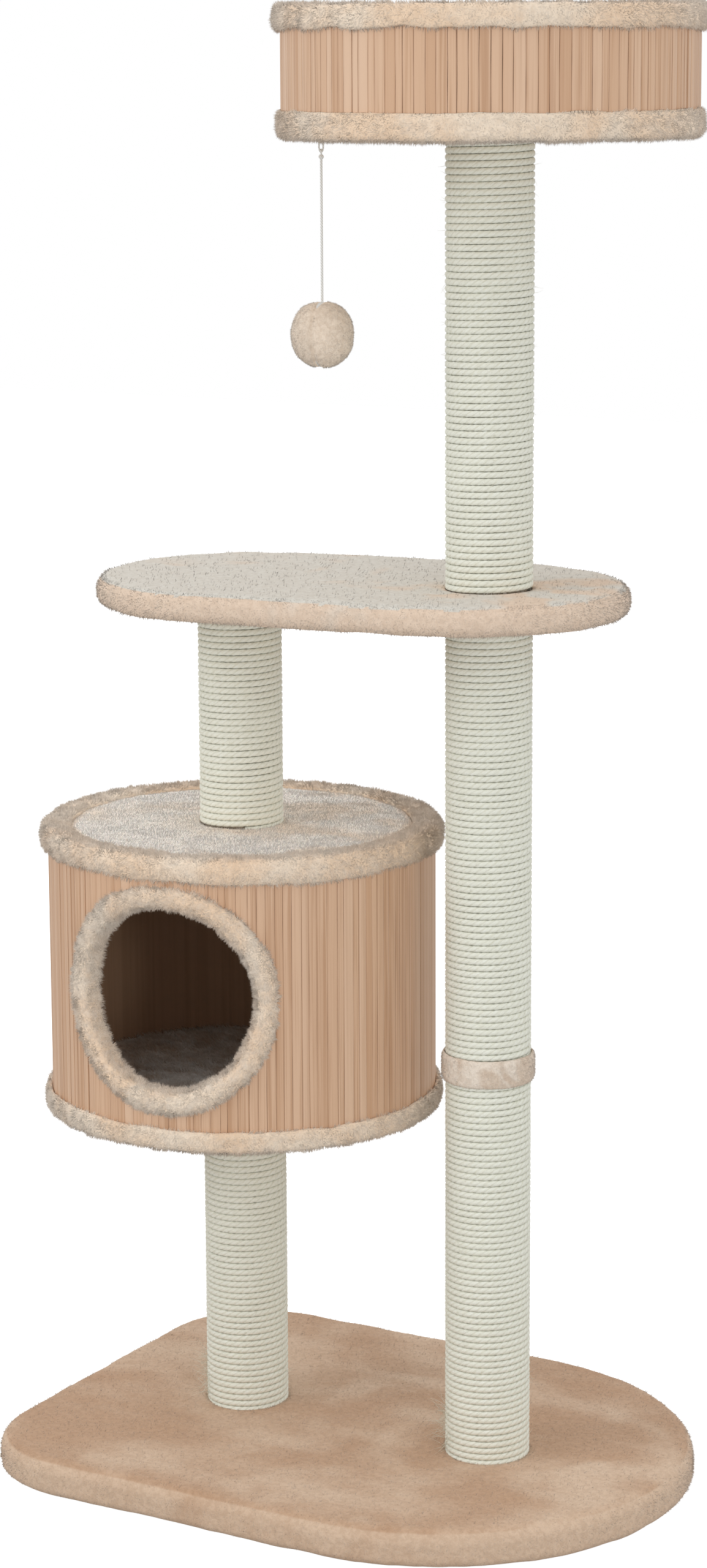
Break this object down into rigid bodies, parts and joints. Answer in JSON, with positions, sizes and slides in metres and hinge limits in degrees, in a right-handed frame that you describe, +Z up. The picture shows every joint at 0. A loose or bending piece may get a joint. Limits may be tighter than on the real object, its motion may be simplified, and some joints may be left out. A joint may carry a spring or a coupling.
{
  "type": "cat tree",
  "caption": "Tall cat tree: sisal posts on a plush base, with a round bamboo house, a racetrack platform, a round open bed on top and a hanging plush ball.",
  "frame": {"origin": "on the floor, under the middle of the bounding box of the whole tree", "axes": "+X along the base towards the tall stack of posts, -Y the front, where the house entrance is, +Z up"},
  "size_m": [0.6559, 0.484, 1.371],
  "materials": {
    "sisal_rope": "natural three-strand twisted sisal",
    "base_plush": "short warm tan pile",
    "trim_plush": "cream pile, longer and looser",
    "roof_plush": "pale pile with brushed patches",
    "platform_plush": "pale cream pile",
    "lining_plush": "short pale pile",
    "band_plush": "pinkish-beige napped strip",
    "bamboo": "split slats, lightly lacquered",
    "hoop_ply": "thin bent ply, raw",
    "board": "raw chipboard",
    "base_chipboard": "raw chipboard",
    "plug_board": "raw fibreboard",
    "paper_tube": "wound kraft paper",
    "zinc_steel": "bright zinc plated",
    "backing_cloth": "thin non-woven sheet",
    "string": "white twisted cord",
    "toy_plush": "short plush",
    "wadding": "loose polyester wadding"
  },
  "bodies": {
    "root": {"base_backing": "backing_cloth", "base_board": "base_chipboard", "base_cover": "base_plush", "base_staples": "zinc_steel", "bed_bamboo": "bamboo", "bed_bottom_cover": "trim_plush", "bed_floor_board": "board", "bed_floor_mat": "lining_plush", "bed_hoop": "hoop_ply", "bed_rim_trim": "trim_plush", "bed_wall_lining": "lining_plush", "entrance_trim": "trim_plush", "house_bamboo": "bamboo", "house_bottom_cover": "trim_plush", "house_floor_board": "board", "house_floor_mat": "lining_plush", "house_hoop": "hoop_ply", "house_rim_trim": "trim_plush", "house_roof_board": "board", "house_roof_panel": "roof_plush", "joining_studs": "zinc_steel", "joint_band": "band_plush", "platform_board": "board", "platform_cover": "platform_plush", "post_bolts": "zinc_steel", "post_washers": "zinc_steel", "short_lower_bottom_plug": "plug_board", "short_lower_rope": "sisal_rope", "short_lower_top_plug": "plug_board", "short_lower_tube": "paper_tube", "short_upper_bottom_plug": "plug_board", "short_upper_rope": "sisal_rope", "short_upper_top_plug": "plug_board", "short_upper_tube": "paper_tube", "tall_lower_bottom_plug": "plug_board", "tall_lower_rope": "sisal_rope", "tall_lower_top_plug": "plug_board", "tall_lower_tube": "paper_tube", "tall_middle_bottom_plug": "plug_board", "tall_middle_rope": "sisal_rope", "tall_middle_top_plug": "plug_board", "tall_middle_tube": "paper_tube", "tall_upper_bottom_plug": "plug_board", "tall_upper_rope": "sisal_rope", "tall_upper_top_plug": "plug_board", "tall_upper_tube": "paper_tube", "threaded_inserts": "zinc_steel", "toy_staple": "zinc_steel"},
    "toy_loop": {"toy_loop": "string"},
    "toy_ball": {"toy_knot": "string", "toy_string": "string", "toy_ball_filling": "wadding", "toy_ball_left_half": "toy_plush", "toy_ball_right_half": "toy_plush"}
  },
  "joints": [
    {"name": "toy_swing_out", "type": "hinge", "parent": "root", "child": "toy_loop", "pos_m": [0.0061, -0.0852, 1.2515], "axis": [-0.4989, 0.8667, 0], "range_deg": [-25, 60]},
    {"name": "toy_swing_side", "type": "hinge", "parent": "toy_loop", "child": "toy_ball", "pos_m": [0.0061, -0.0852, 1.2432], "axis": [-0.8667, -0.4989, 0], "range_deg": [-60, 60]}
  ]
}
